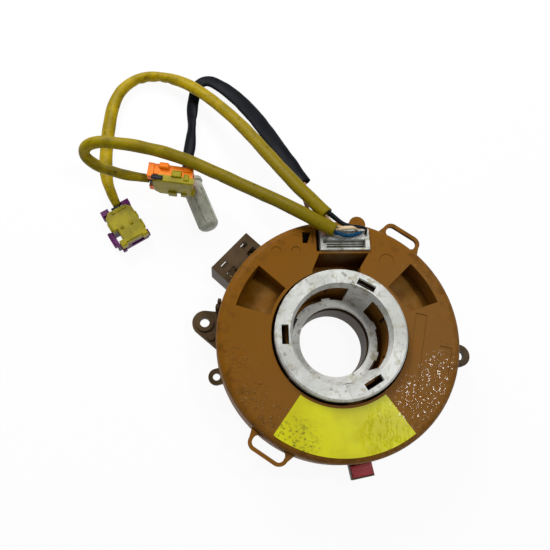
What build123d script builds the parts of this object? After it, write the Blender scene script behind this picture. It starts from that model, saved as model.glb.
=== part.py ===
from build123d import *
import os
from math import atan2, cos, degrees, hypot, pi, radians, sin, tan

os.makedirs("parts", exist_ok=True)

# Steering clock spring, in millimetres. The column axis is Z and the rear face is z = 0.
# +Z points at the driver, and the header's long side lies along X on the +Y side.

# Rear housing
bore_radius = 15.5
tube_wall = 2.0
tube_height = 12.2
housing_radius = 50.0
housing_wall = 1.7
housing_height = 16.0
base_thickness = 2.0
rib_count = 9
rib_width = 1.2
rear_recess_depth = 0.8
root_depth = 0.8

# Ears: centre, outer radius, hole radius and height of each boss
left_ear = (-57.0, 11.2)
left_ear_radius = 5.6
left_hole_radius = 2.15
left_web_angles = (183.9, 161.5)
right_ear = (58.3, -6.2)
right_ear_radius = 5.1
right_hole_radius = 2.15
right_web_angles = (-16.5, 3.0)
small_ear = (-51.95, -13.1)
small_ear_radius = 3.6
small_hole_radius = 1.6
ear_base = 8.0
ear_top = 11.0
ear_web_top = 10.2
ear_ring_width = 1.85
pip_place = (-54.5, 4.9)
pip_length = 4.0
pip_width = 2.9
pip_height = 0.8
pip_turn = -46.0
post_angle = 160.2
post_width = 4.2
post_gap = 1.3
post_thickness = 1.4
post_top = 18.0
post_slot = 1.2

# Rear connector
connector_angle = 136.0
connector_face = 63.6
connector_width = 23.3
connector_height = 14.6
connector_wall = 1.5
connector_depth = 11.0
latch_hole_length = 3.4
latch_hole_width = 2.2
latch_hole_spread = 13.0
latch_hole_inset = 3.4
notch_reach = 4.2
notch_width = 4.8
notch_depth = 2.0
rim_gap = 0.6
pin_count = 5
pin_rows = 2
pin_pitch = 3.6
pin_row_gap = 4.6
pin_size = 0.8
pin_length = 9.0

# Red tab and its bracket on the lower rim
tab_angle = -80.4
bracket_width = 9.8
bracket_wall = 1.1
bracket_inner = 52.2
bracket_reach = 58.3
bracket_bottom = 7.5
bracket_floor = 1.1
bracket_top = 11.5
tab_clearance = 0.3
tab_head_width = 9.4
tab_head_outer = 57.5
tab_head_thickness = 0.9
tab_groove = 0.5

# Rotor cover
cover_radius = 52.0
cover_top = 31.5
cover_plate = 2.0
skirt_wall = 1.5
skirt_bottom = 13.0
rim_round = 3.2
hub_opening = 29.1
collar_wall = 1.3
well_floor_thickness = 1.3
well_wall = 1.3
well_inner = 30.4
well_outer = 45.6
well_half_angle = 12.8
well_from_y = 59.75
well_floor_inner = 23.6
well_floor_ridge = 23.0
well_floor_outer = 20.2
loop_angle = 54.9
loop_slot_length = 14.8
loop_slot_inner = 52.1
loop_slot_outer = 57.1
loop_slot_round = 2.2
loop_bar = 1.6
loop_flare = 1.6
loop_bottom = 25.8
loop_top = 27.6
bump_place = (11.4, 50.6)
bump_radius = 3.7
bump_bottom = 24.5
bump_top = 29.6
window_x = (-13.9, -9.1)
window_y = (41.1, 46.4)
tongue_drop = 0.6
tongue_taper = 1.7
tongue_width = 1.0
plate_recess_depth = 0.35
long_recess = (31.7, -8.6, 76.5, 35.2, 4.9)
short_recess = (43.3, -11.7, 75.0, 12.0, 5.3)
dimples = [(22.7, 32.5, 3.4), (-25.7, 37.5, 2.2), (-17.1, 37.4, 2.2)]
dimple_depth = 0.3

# Header pocket and the bay in front of it
header_x = (-6.2, 15.6)
header_y = (37.6, 47.2)
header_bottom = 18.0
header_top = 32.6
header_gap = 0.3
header_gap_left = 1.7
trough_x = (-3.6, 13.7)
trough_y = (38.4, 42.3)
trough_depth = 6.0
trough_ridges = (39.5, 40.5, 41.4)
ridge_width = 0.35
ridge_drop = 3.2
ridge_step = 0.5
side_notch_x = (-5.0, -3.5)
side_notch_y = (40.7, 42.5)
side_notch_depth = 5.0
wire_slot_inset = 0.9
wire_slot_width = 2.6
wire_slot_depth = 1.2
header_pin_count = 6
header_pin_first = 4.0
header_pin_pitch = 2.75
header_pin_width = 0.8
header_pin_thickness = 0.4
header_pin_y = 43.0
header_pin_drop = 3.0
lip_wall = 1.3
pocket_wall = 1.4
bay_points = [(-10.3, 25.0), (-10.3, 28.7), (-6.9, 36.3), (15.0, 36.3), (10.75, 29.5), (10.75, 25.0)]

# Winding drum
bearing_clearance = 0.25
bearing_thickness = 2.0
disc_bottom = 10.6
disc_thickness = 1.6
disc_radius = 47.9
sleeve_inner = 22.0
sleeve_wall = 1.2
sleeve_top = 30.0
winding_radius = 27.8
winding_wall = 1.8
winding_bottom = 2.9
finger_slot_width = 1.3
finger_slot_bottom = 17.0

# Retaining clip, slip sheets and ribbon
clip_thickness = 0.9
clip_width = 3.4
clip_gap_angle = 34.0
clip_lift = 0.35
slip_thickness = 0.3
ribbon_thickness = 0.3
ribbon_bottom = 2.7
ribbon_height = 7.1
ribbon_clearance = 0.3
ribbon_half_turns = 11
block_width = 9.0
block_depth = 2.6
block_height = 6.6

# Lock ring and its spring
ring_outer = 27.9
ring_top = 35.7
ring_plate = 2.0
ring_edge = 0.8
ring_skirt = 1.1
ring_skirt_bottom = 31.0
ring_mouth = 21.7
ring_throat = 20.5
ring_throat_z = 32.0
ring_foot = 18.9
ring_foot_z = 18.0
ring_bottom_z = 16.0
ring_bore = 15.6
ring_back_top = 21.6
ring_back_bottom = 20.7
web_angles = (60.0, 180.0, 300.0)
web_half_angle = 16.0
castle_offset = 21.0
castle_half_angle = 5.8
castle_reach = 0.9
ring_slot_length = 8.2
ring_slot_width = 3.0
ring_slot_radius = 23.6
spring_wire = 1.2
spring_radius = 25.4
spring_turns = 4
spring_gap = 0.3

# Sticker
sticker_thickness = 0.15
sticker_inner = 30.2
sticker_outer = 49.6
sticker_middle = -91.2
sticker_half_angle = 35.6

# Leads: the sleeves and the bare wires
sleeve_diameter = 5.2
black_diameter = 4.4
wire_diameter = 1.7
black_wire_diameter = 2.4
purple_route = [
    (-3.4, 52.6, 36.6), (-13.8, 65.0, 34.4), (-24.9, 82.7, 28.4), (-36.9, 103.6, 20.4),
    (-50.6, 122.4, 13.0), (-64.6, 136.2, 8.6), (-77.6, 143.0, 4.6), (-88.6, 144.2, 2.8),
    (-97.9, 138.6, 2.7), (-102.9, 128.6, 2.8), (-104.7, 115.6, 2.7), (-105.4, 103.2, 2.8),
    (-105.4, 91.2, 2.9), (-103.0, 79.1, 4.0), (-98.6, 70.8, 4.2),
]
orange_route = [
    (-0.6, 44.6, 37.6), (-11.8, 51.2, 37.8), (-26.1, 61.0, 34.2), (-42.2, 70.5, 30.6),
    (-57.0, 79.2, 28.6), (-70.4, 85.4, 28.3), (-83.6, 88.6, 29.2), (-95.6, 90.2, 30.2),
    (-104.2, 90.9, 30.0), (-110.6, 90.2, 26.6), (-111.8, 88.3, 20.2), (-106.6, 85.8, 16.0),
    (-99.4, 82.8, 16.4), (-91.4, 79.6, 18.0), (-82.1, 78.3, 18.5),
]
black_route = [
    (-11.2, 71.4, 28.6), (-20.0, 88.7, 23.0), (-28.0, 107.8, 15.4), (-36.6, 124.6, 8.2),
    (-46.4, 137.4, 3.6), (-55.0, 143.4, 2.4), (-61.0, 139.6, 2.5), (-63.1, 129.6, 2.3),
    (-63.3, 116.4, 2.4), (-64.2, 104.0, 2.6), (-66.0, 93.0, 4.2), (-64.2, 83.7, 5.7),
]
blue_route = [
    (-0.5, 44.6, 36.8), (2.8, 42.95, 36.2), (6.6, 42.8, 35.4), (9.9, 44.1, 34.9), (11.2, 45.2, 33.3),
    (11.2, 45.2, 31.4),
]
tan_route = [
    (-4.1, 52.0, 37.6), (-1.0, 49.2, 36.6), (3.4, 46.9, 35.6), (7.2, 46.2, 34.9), (8.6, 45.2, 33.4),
    (8.6, 45.2, 31.4),
]
dark_route = [
    (-2.5, 53.3, 36.9), (1.6, 50.2, 37.3), (6.6, 48.8, 37.0), (11.2, 47.1, 36.4), (13.6, 45.0, 34.2),
    (13.6, 45.0, 31.4),
]
green_route = [(-3.8, 52.0, 35.6), (-2.6, 49.8, 35.1), (-1.6, 46.8, 34.2), (-1.4, 44.6, 32.2)]
rose_route = [
    (-11.1, 71.2, 28.7), (-12.2, 66.5, 29.0), (-11.6, 61.0, 30.2), (-10.6, 56.0, 31.8), (-9.0, 52.4, 33.0),
    (-6.9, 49.5, 33.7), (-5.0, 46.0, 34.1), (-4.5, 44.6, 32.2),
]

# Plugs: middle on the plan, turn about Z and size
purple_place = (-94.5, 60.9)
purple_turn = -58.7
orange_place = (-71.6, 76.8)
orange_turn = -8.0
orange_base = 12.6
plug_length = 21.2
plug_width = 13.6
plug_housing_height = 5.0
plug_cover_height = 3.4
plug_setback = 2.6
plug_shoulder = 2.4
plug_lug_length = 0.9
plug_lug_width = 2.8
plug_bay = (1.9, 7.2)
plug_bay_depth = 2.2
plug_horn_width = 3.9
plug_horn_reach = 0.5
plug_horn_rise = 1.6
plug_shelf_height = 2.4
plug_arm = (0.4, 8.6)
plug_arm_width = 1.6
plug_arm_gap = 0.2
plug_chamfer = 0.5
mouth_wall = 1.2
mouth_depth = 6.0
ferrite_length = 1.7
ferrite_width = 4.0
contact_width = 1.8
contact_spread = 4.0
contact_height = 1.6
grey_start = (-63.9, 82.9)
grey_turn = -69.0
grey_radius = 5.0
grey_length = 25.0
collar_radius = 5.7
collar_length = 1.6
grey_groove_count = 6
grey_groove_width = 0.9
grey_groove_depth = 0.5
grey_groove_start = 5.0
grey_bore_radius = 2.0
grey_bore_depth = 8.0
grey_contact_radius = 1.6
grey_contact_length = 7.5


def at(radius, angle, z=0.0):
    """A point given by its distance from the column axis and its angle."""
    return (radius * cos(radians(angle)), radius * sin(radians(angle)), z)


def tube(inner, outer, bottom, top):
    """A straight ring about the column axis."""
    face = Circle(outer) - Circle(inner)
    return Pos(0, 0, bottom) * extrude(face, top - bottom)


def disc(radius, bottom, top, place=(0.0, 0.0)):
    """A plain upright cylinder."""
    return Pos(place[0], place[1], bottom) * extrude(Circle(radius), top - bottom)


def sector(inner, outer, middle, half, bottom, top):
    """A slice of a ring, given by its middle angle and half its spread."""
    first = middle - half
    last = middle + half
    edges = [
        Line(at(inner, first)[:2], at(outer, first)[:2]),
        CenterArc((0, 0), outer, first, last - first),
        Line(at(outer, last)[:2], at(inner, last)[:2]),
        CenterArc((0, 0), inner, first, last - first),
    ]
    return Pos(0, 0, bottom) * extrude(make_face(Curve() + edges), top - bottom)


def prism(points, bottom, top):
    """A straight prism over a plan outline."""
    return Pos(0, 0, bottom) * extrude(make_face(Polyline(*points, close=True)), top - bottom)


def turned(points, rounds=()):
    """A turned shape from (radius, z) points, with chosen corners rounded."""
    face = make_face(Polyline(*points, close=True))
    for corner, radius in rounds:
        nearest = min(face.vertices(), key=lambda v: hypot(v.X - corner[0], v.Y - corner[1]))
        face = fillet(nearest, radius)
    return revolve(Plane.XZ * face, Axis.Z)


def block(x, y, z):
    """A box between two limits on each axis."""
    size = (x[1] - x[0], y[1] - y[0], z[1] - z[0])
    return Pos((x[0] + x[1]) / 2, (y[0] + y[1]) / 2, (z[0] + z[1]) / 2) * Box(*size)


def turn_to(angle, shape):
    """Turns a shape drawn along +X to an angle about the column axis."""
    return Rot(0, 0, angle) * shape


def hull_of_ear(centre, radius, foot_a, foot_b, bottom, top):
    """A plate from a round ear to two points on the housing wall."""
    boss = disc(radius, bottom, top, centre)
    web = prism([tangent(centre, radius, foot_a, foot_b), foot_a, foot_b, tangent(centre, radius, foot_b, foot_a)],
                bottom, top)
    return boss + web


def tangent(centre, radius, point, away_from):
    """Where a straight line from a point touches a circle, on the side away from a second point."""
    reach = hypot(point[0] - centre[0], point[1] - centre[1])
    angle = atan2(point[1] - centre[1], point[0] - centre[0])
    spread = pi / 2 - atan2(radius, (reach ** 2 - radius ** 2) ** 0.5)
    touches = []
    for side in (angle + spread, angle - spread):
        touches.append((centre[0] + radius * cos(side), centre[1] + radius * sin(side)))
    return max(touches, key=lambda p: hypot(p[0] - away_from[0], p[1] - away_from[1]))


def make_rear_housing():
    inner_radius = housing_radius - housing_wall
    body = tube(bore_radius, housing_radius, 0, base_thickness)
    body += tube(inner_radius, housing_radius, 0, housing_height)
    body += tube(bore_radius, bore_radius + tube_wall, 0, tube_height)
    body -= tube(bore_radius + tube_wall, inner_radius, 0, rear_recess_depth)
    for index in range(rib_count):
        rib = block((bore_radius + tube_wall - 0.2, inner_radius + 0.2), (-rib_width / 2, rib_width / 2),
                    (0, rear_recess_depth))
        body += turn_to(index * 360 / rib_count, rib)
    groove_bottom = clip_seat()
    body -= tube(bore_radius + tube_wall - 0.6, bore_radius + tube_wall + 1, groove_bottom,
                 groove_bottom + clip_thickness)

    # Ears with their webs
    root = housing_radius - root_depth
    ears = (
        (left_ear, left_ear_radius, left_hole_radius, left_web_angles),
        (right_ear, right_ear_radius, right_hole_radius, right_web_angles),
    )
    for centre, radius, hole, feet in ears:
        body += hull_of_ear(centre, radius, at(root, feet[0])[:2], at(root, feet[1])[:2], ear_base, ear_web_top)
        body += disc(hole + ear_ring_width, ear_base, ear_top, centre)
    pip = Rot(0, 0, pip_turn) * SlotOverall(pip_length, pip_width)
    body += Pos(pip_place[0], pip_place[1], ear_base) * extrude(pip, ear_web_top + pip_height - ear_base)
    body += disc(small_ear_radius, ear_base, ear_web_top, small_ear)
    neck = block((root, hypot(*small_ear)), (-small_ear_radius, small_ear_radius), (ear_base, ear_web_top))
    body += turn_to(degrees(atan2(small_ear[1], small_ear[0])), neck)
    for centre, radius in ((left_ear, left_hole_radius), (right_ear, right_hole_radius),
                           (small_ear, small_hole_radius)):
        body -= disc(radius, ear_base - 1, ear_top + 1, centre)

    # Slotted post beside the left ear
    under_skirt = skirt_bottom - rim_gap
    inner = cover_radius + post_gap
    outer = inner + post_thickness
    post = block((root, outer), (-post_width / 2, post_width / 2), (ear_base, under_skirt))
    post += block((inner, outer), (-post_width / 2, post_width / 2), (ear_base, post_top))
    post -= block((inner - 1, outer + 1), (-post_slot / 2, post_slot / 2), (under_skirt + 1, post_top + 1))
    body += turn_to(post_angle, post)

    # Rear connector shroud, open outwards
    half = connector_width / 2
    neck_face = cover_radius + rim_gap
    mouth_back = connector_face - connector_depth
    shroud = block((root, neck_face), (-half, half), (0, under_skirt))
    shroud += block((neck_face, connector_face), (-half, half), (0, connector_height))
    mouth = block((mouth_back, connector_face + 1), (-half + connector_wall, half - connector_wall),
                  (connector_wall, connector_height - connector_wall))
    mouth -= block((mouth_back - 1, neck_face + connector_wall), (-half, half),
                   (under_skirt - connector_wall, connector_height))
    shroud -= mouth
    for side in (-1, 1):
        middle = side * latch_hole_spread / 2
        centre = connector_face - latch_hole_inset
        shroud -= block((centre - latch_hole_width / 2, centre + latch_hole_width / 2),
                        (middle - latch_hole_length / 2, middle + latch_hole_length / 2), (-1, connector_height + 1))
        shroud -= block((neck_face - 1, neck_face + notch_reach), (middle - notch_width / 2, middle + notch_width / 2),
                        (connector_height - notch_depth, connector_height + 1))
    body += turn_to(connector_angle, shroud)
    body -= make_rear_pins()

    # Bracket for the red tab
    half = bracket_width / 2
    bracket = block((root, bracket_reach), (-half, half), (bracket_bottom, bracket_top))
    bracket -= block((bracket_inner, bracket_reach - bracket_wall), (-half + bracket_wall, half - bracket_wall),
                     (bracket_bottom + bracket_floor, bracket_top + 1))
    return body + turn_to(tab_angle, bracket)


def clip_seat():
    """Height of the retaining clip's lower face above the drum's bearing flange."""
    return disc_bottom + clip_lift


def pin_places():
    """Across and up position of each pin of the rear connector."""
    middle = (skirt_bottom - rim_gap) / 2
    places = []
    for row in range(pin_rows):
        for column in range(pin_count):
            across = (column - (pin_count - 1) / 2) * pin_pitch
            places.append((across, middle + (row - (pin_rows - 1) / 2) * pin_row_gap))
    return places


def make_rear_pins():
    pins = Part()
    for x, z in pin_places():
        inside = housing_radius - 2.5
        pins += block((inside, inside + pin_length), (x - pin_size / 2, x + pin_size / 2),
                      (z - pin_size / 2, z + pin_size / 2))
    return turn_to(connector_angle, pins)


def make_rotor_cover():
    inner = cover_radius - skirt_wall
    drum_top = disc_bottom + disc_thickness
    under = cover_top - cover_plate
    body = turned([
        (hub_opening, drum_top), (hub_opening, cover_top), (cover_radius, cover_top),
        (cover_radius, skirt_bottom), (inner, skirt_bottom), (inner, under),
        (hub_opening + collar_wall, under), (hub_opening + collar_wall, drum_top),
    ], [((cover_radius, cover_top), rim_round), ((inner, under), rim_round * 0.6)])
    loops = Part()
    for angle in (loop_angle, loop_angle + 180):
        loops += turn_to(angle, make_loop())
    body += loops
    bump = disc(bump_radius, bump_bottom, bump_top, bump_place)
    bump -= disc(inner + 0.4, bump_bottom - 1, bump_top + 1)
    body += bump

    # Two wells with a crowned floor
    for angle in (90 - well_from_y, 90 + well_from_y):
        wall_angle = degrees(well_wall / well_inner)
        shell = sector(hub_opening, well_outer + well_wall, angle, well_half_angle + wall_angle,
                       well_floor_outer - well_floor_thickness, under + 0.5)
        body += shell
        body -= make_well(angle)

    # Header pocket and bay
    left = header_x[0] - header_gap_left
    right = header_x[1] + header_gap
    front = header_y[0] - header_gap
    back = header_y[1] + header_gap
    inside = disc(cover_radius - skirt_wall / 2, 0, cover_top)
    pocket = block((left - pocket_wall, right + pocket_wall), (front - lip_wall, back + pocket_wall),
                   (header_bottom - pocket_wall, under + 0.5))
    body += pocket & inside
    bay_shell = offset(make_face(Polyline(*bay_points, close=True)), pocket_wall)
    bay_shell = Pos(0, 0, drum_top) * extrude(bay_shell, under + 0.5 - drum_top)
    body += bay_shell - disc(hub_opening + 0.2, 0, cover_top)
    body -= block((left, right), (front, back), (header_bottom, cover_top + 1)) & inside
    body -= prism(bay_points, drum_top - 1, cover_top + 1)

    # Latch window with its tongue, bare recesses and moulding marks
    body -= block(window_x, window_y, (under - 1, cover_top + 1))
    tongue_edge = window_x[1] - tongue_width
    body += prism([(window_x[1], window_y[0]), (window_x[1], window_y[1]), (tongue_edge, window_y[1]),
                   (tongue_edge - tongue_taper, window_y[0])], under, cover_top - tongue_drop)
    for x, y, angle, length, width in (long_recess, short_recess):
        body -= Pos(x, y, cover_top) * Rot(0, 0, angle) * Box(length, width, 2 * plate_recess_depth)
    for x, y, radius in dimples:
        body -= disc(radius, cover_top - dimple_depth, cover_top + 1, (x, y))
    return body


def make_loop():
    """One wire-like loop on the rim, drawn along +X."""
    half = loop_slot_length / 2
    depth = loop_slot_outer - loop_slot_inner
    middle = Pos((loop_slot_inner + loop_slot_outer) / 2, 0)
    outer = middle * RectangleRounded(depth + 2 * loop_bar, 2 * (half + loop_bar), loop_slot_round + loop_bar)
    slot = middle * RectangleRounded(depth, 2 * half, loop_slot_round)
    root = housing_radius
    flare = make_face(Polyline(
        (root, -half - loop_bar - loop_flare), (root, half + loop_bar + loop_flare),
        (loop_slot_outer - loop_slot_round, half + loop_bar), (loop_slot_outer - loop_slot_round, -half - loop_bar),
        close=True))
    plate = Pos(0, 0, loop_bottom) * extrude(outer + flare - slot, loop_top - loop_bottom)
    return plate - disc(cover_radius - skirt_wall / 2, loop_bottom - 1, loop_top + 1)


def make_well(angle):
    """The hollow of a well: its floor falls from a crowned ridge to the outer wall."""
    ridge = (well_inner + well_outer) / 2
    profile = Curve() + [
        Line((well_inner, cover_top + 1), (well_inner, well_floor_inner)),
        ThreePointArc((well_inner, well_floor_inner), (ridge, well_floor_ridge), (well_outer, well_floor_outer)),
        Line((well_outer, well_floor_outer), (well_outer, cover_top + 1)),
        Line((well_outer, cover_top + 1), (well_inner, cover_top + 1)),
    ]
    hollow = revolve(Plane.XZ * make_face(profile), Axis.Z, 2 * well_half_angle)
    return Rot(0, 0, angle - well_half_angle) * hollow


def make_winding_drum():
    """The lid of the ribbon chamber with the wall that the ribbon winds on."""
    body = tube(sleeve_inner + sleeve_wall, disc_radius, disc_bottom, disc_bottom + disc_thickness)
    return body + tube(winding_radius - winding_wall, winding_radius, winding_bottom, disc_bottom)


def make_hub_sleeve():
    """The sleeve pressed into the drum, which turns on the column tube and guides the lock ring."""
    flange_inner = bore_radius + tube_wall + bearing_clearance
    sleeve_outer = sleeve_inner + sleeve_wall
    body = tube(flange_inner, sleeve_outer, disc_bottom - bearing_thickness, disc_bottom)
    body += tube(sleeve_inner, sleeve_outer, disc_bottom - bearing_thickness, sleeve_top)
    for web in web_angles:
        for side in (-1, 1):
            slot = block((sleeve_inner - 1, sleeve_outer + 1), (-finger_slot_width / 2, finger_slot_width / 2),
                         (finger_slot_bottom, sleeve_top + 1))
            body -= turn_to(web + 60 + side * castle_offset, slot)
    return body


def make_retaining_clip():
    tube_outer = bore_radius + tube_wall
    inner = tube_outer - 0.5
    face = Circle(inner + clip_width) - Circle(inner)
    clip = Pos(0, 0, clip_seat()) * extrude(face, clip_thickness)
    return clip - sector(inner - 2, inner + clip_width + 2, 240, clip_gap_angle / 2, 0, 30)


def make_ribbon():
    """A flat cable wound as a two-centre spiral of half-circle arcs."""
    start_radius = winding_radius + ribbon_clearance
    end_radius = housing_radius - housing_wall - block_depth - ribbon_thickness
    shift = (end_radius - start_radius) / (ribbon_half_turns - 1)
    inner_edges = []
    outer_edges = []
    radius = start_radius
    for index in range(ribbon_half_turns):
        centre = (0, 0) if index % 2 == 0 else (shift, 0)
        first = 0 if index % 2 == 0 else 180
        inner_edges.append(CenterArc(centre, radius, first, 180))
        outer_edges.append(CenterArc(centre, radius + ribbon_thickness, first, 180))
        radius += shift
    start = Line(inner_edges[0] @ 0, outer_edges[0] @ 0)
    end = Line(inner_edges[-1] @ 1, outer_edges[-1] @ 1)
    outline = Curve() + inner_edges + outer_edges + [start, end]
    ribbon = Pos(0, 0, ribbon_bottom) * extrude(make_face(outline), ribbon_height)
    return turn_to(connector_angle - 180, ribbon)


def make_terminal_block(wall_radius, angle):
    """A moulded end piece that grips the ribbon, seated inside a round wall."""
    body = block((wall_radius - block_depth, wall_radius), (-block_width / 2, block_width / 2),
                 (ribbon_bottom, ribbon_bottom + block_height))
    return turn_to(angle, body & disc(wall_radius, 0, housing_height))


def make_lock_ring():
    body = turned([
        (ring_outer, ring_skirt_bottom), (ring_outer, ring_top - ring_edge), (ring_outer - ring_edge, ring_top),
        (ring_mouth, ring_top), (ring_throat, ring_throat_z), (ring_foot, ring_foot_z), (ring_bore, ring_foot_z),
        (ring_bore, ring_bottom_z), (ring_back_bottom, ring_bottom_z), (ring_back_top, ring_top - ring_plate),
        (ring_outer - ring_skirt, ring_top - ring_plate), (ring_outer - ring_skirt, ring_skirt_bottom),
    ])
    for web in web_angles:
        window = web + 60
        body -= sector(ring_foot, ring_back_top + 1, window, 60 - web_half_angle, ring_bottom_z - 1, ring_throat_z)
        slot = block((ring_slot_radius - ring_slot_width / 2, ring_slot_radius + ring_slot_width / 2),
                     (-ring_slot_length / 2, ring_slot_length / 2), (ring_top - ring_plate - 1, ring_top + 1))
        body -= turn_to(web, slot)
        for side in (-1, 1):
            body += sector(ring_foot - 0.5, ring_foot + castle_reach, window + side * castle_offset,
                           castle_half_angle, ring_bottom_z, ring_foot_z)
    return body


def make_lock_spring():
    seat = disc_bottom + disc_thickness
    low = seat + spring_wire / 2
    high = ring_top - ring_plate - spring_wire / 2 - spring_gap
    rise = (high - low) / (2 * spring_turns)
    arc_radius = hypot(spring_radius, rise / 2)
    arcs = []
    for half in range(2 * spring_turns):
        way = 1 if half % 2 == 0 else -1
        start = (way * spring_radius, 0, low + half * rise)
        middle = (0, way * arc_radius, low + (half + 0.5) * rise)
        arcs.append(ThreePointArc(start, middle, (-start[0], 0, start[2] + rise)))
    path = Wire(arcs)
    section = Plane(origin=path @ 0, z_dir=path % 0) * Circle(spring_wire / 2)
    return sweep(section, path=path)


def make_slip_sheet(bottom):
    return tube(winding_radius + 0.4, housing_radius - housing_wall - 0.4, bottom, bottom + slip_thickness)


def make_sticker():
    return sector(sticker_inner, sticker_outer, sticker_middle, sticker_half_angle, cover_top,
                  cover_top + sticker_thickness)


def make_red_tab():
    """A stem in the bracket under a head that covers the bracket's walls."""
    inner = bracket_inner + tab_clearance
    stem_half = bracket_width / 2 - bracket_wall - tab_clearance
    seat = bracket_top + tab_clearance
    top = seat + tab_head_thickness
    body = block((inner, bracket_reach - bracket_wall - tab_clearance), (-stem_half, stem_half),
                 (bracket_bottom + bracket_floor + tab_clearance, seat))
    head = block((inner, tab_head_outer), (-tab_head_width / 2, tab_head_width / 2), (seat, top))
    head = chamfer(head.edges().group_by(Axis.Z)[-1], tab_head_thickness / 3)
    middle = (inner + tab_head_outer) / 2
    head -= block((middle - tab_groove / 2, middle + tab_groove / 2), (-tab_head_width, tab_head_width),
                  (top - tab_head_thickness / 3, top + 1))
    return turn_to(tab_angle, body + head)


def make_wire_header():
    body = block(header_x, header_y, (header_bottom, header_top))
    body -= block(trough_x, trough_y, (header_top - trough_depth, header_top + 1))
    for index, y in enumerate(trough_ridges):
        top = header_top - ridge_drop + ridge_step * index
        body += block(trough_x, (y - ridge_width / 2, y + ridge_width / 2), (header_top - trough_depth, top))
    body -= block(side_notch_x, side_notch_y, (header_top - side_notch_depth, header_top + 1))
    slot_back = header_y[1] - wire_slot_inset
    body -= block((header_x[0] + wire_slot_inset, header_x[1] - wire_slot_inset),
                  (slot_back - wire_slot_width, slot_back), (header_top - wire_slot_depth, header_top + 1))
    return body - make_header_pins()


def make_header_pins():
    pins = Part()
    for index in range(header_pin_count):
        x = header_x[0] + header_pin_first + index * header_pin_pitch
        pins += block((x, x + header_pin_width), (header_pin_y, header_pin_y + header_pin_thickness),
                      (header_bottom, header_top - header_pin_drop))
    return pins


def route_path(points, label):
    """Straight runs joined by arcs as large as their runs allow, and the radii in a printed line."""
    radii = []
    for before, corner, after in zip(points, points[1:], points[2:]):
        first = Vector(*corner) - Vector(*before)
        second = Vector(*after) - Vector(*corner)
        half_turn = radians(first.get_angle(second)) / 2
        radii.append(0.45 * min(first.length, second.length) / tan(half_turn))
    print(label, "radii", [round(r, 1) for r in radii])
    return FilletPolyline(*points, radius=radii)


def make_cord(points, diameter, label):
    path = route_path(points, label)
    section = Plane(origin=path @ 0, z_dir=path % 0) * Circle(diameter / 2)
    body = sweep(section, path=path)
    print(label, "length", round(path.length, 1), "volume over section times length",
          round(body.volume / (pi * diameter ** 2 / 4 * path.length), 4))
    return body


def place_plug(place, turn, shape, base=0.0, on_edge=False):
    """Puts a plug, drawn along +X and centred, on the plan. A plug on its edge stands on its side."""
    lean = Rot(90, 0, 0) if on_edge else Rot(0, 0, 0)
    return Pos(place[0], place[1], base) * Rot(0, 0, turn) * lean * shape


def plug_frame(on_edge):
    """Lowest height of the plug's own section before it is laid down."""
    height = plug_housing_height + plug_cover_height
    return (-height / 2, plug_width / 2) if on_edge else (0.0, 0.0)


def make_plug_housing():
    half = plug_width / 2
    rear = -plug_length / 2
    front = plug_length / 2 - plug_lug_length
    shoulder = rear + plug_setback
    body = block((shoulder, front), (-half, half), (0, plug_housing_height))
    body += block((rear + plug_setback / 3, shoulder), (-half, half), (0, plug_shelf_height))
    for side in (-1, 1):
        edges = sorted((side * (half + plug_horn_reach), side * (half + plug_horn_reach - plug_horn_width)))
        body += block((rear, shoulder), edges, (0, plug_housing_height + plug_horn_rise))
    arm_face = half + plug_arm_gap
    body -= block(plug_bay, (-half - 1, -half + plug_bay_depth), (-1, plug_housing_height + 1))
    body += block(plug_arm, (-arm_face - plug_arm_width, -arm_face), (0, plug_housing_height))
    body += block((plug_bay[1], plug_arm[1]), (-arm_face, -half), (0, plug_housing_height))
    body -= block((front - mouth_depth, front + 1), (-half + 2 * mouth_wall + plug_bay_depth, half - 2 * mouth_wall),
                  (mouth_wall, plug_housing_height - mouth_wall))
    return body


def make_plug_cover():
    """The yellow lock cover: cut shoulders at the rear, two lugs at the front and a bay beside the arm."""
    half = plug_width / 2
    rear = -plug_length / 2 + plug_setback
    front = plug_length / 2
    lug_back = front - plug_lug_length
    outline = make_face(Polyline(
        (rear, -half + plug_shoulder), (rear + plug_shoulder, -half), (plug_bay[0], -half),
        (plug_bay[0], -half + plug_bay_depth), (plug_bay[1], -half + plug_bay_depth), (plug_bay[1], -half),
        (front, -half), (front, -half + plug_lug_width), (lug_back, -half + plug_lug_width),
        (lug_back, half - plug_lug_width), (front, half - plug_lug_width), (front, half),
        (rear + plug_shoulder, half), (rear, half - plug_shoulder), close=True))
    body = Pos(0, 0, plug_housing_height) * extrude(outline, plug_cover_height)
    return chamfer(body.edges().group_by(Axis.Z)[-1], plug_chamfer)


def make_plug_ferrite():
    shoulder = -plug_length / 2 + plug_setback
    return block((shoulder - ferrite_length, shoulder), (-ferrite_width / 2, ferrite_width / 2),
                 (plug_shelf_height, plug_housing_height + plug_horn_rise))


def make_plug_contacts():
    front = plug_length / 2 - plug_lug_length
    body = Part()
    for side in (-1, 1):
        middle = plug_bay_depth / 2 + side * contact_spread / 2
        body += block((front - mouth_depth, front - mouth_wall), (middle - contact_width / 2, middle + contact_width / 2),
                      (mouth_wall, mouth_wall + contact_height))
    return body


def along_plug(radius, length):
    """A cylinder from the origin along +X."""
    return Rot(0, 90, 0) * Cylinder(radius, length, align=(Align.CENTER, Align.CENTER, Align.MIN))


def make_grey_body():
    body = along_plug(grey_radius, grey_length)
    body = fillet(body.faces().sort_by(Axis.X)[-1].edges(), grey_radius * 0.6)
    groove = block((grey_groove_start, grey_length + 1), (-grey_groove_width / 2, grey_groove_width / 2),
                   (grey_radius - grey_groove_depth, grey_radius + 1))
    for index in range(grey_groove_count):
        body -= Rot((index + 1 / 3) * 360 / grey_groove_count, 0, 0) * groove
    return body - along_plug(grey_bore_radius, grey_bore_depth)


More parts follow.
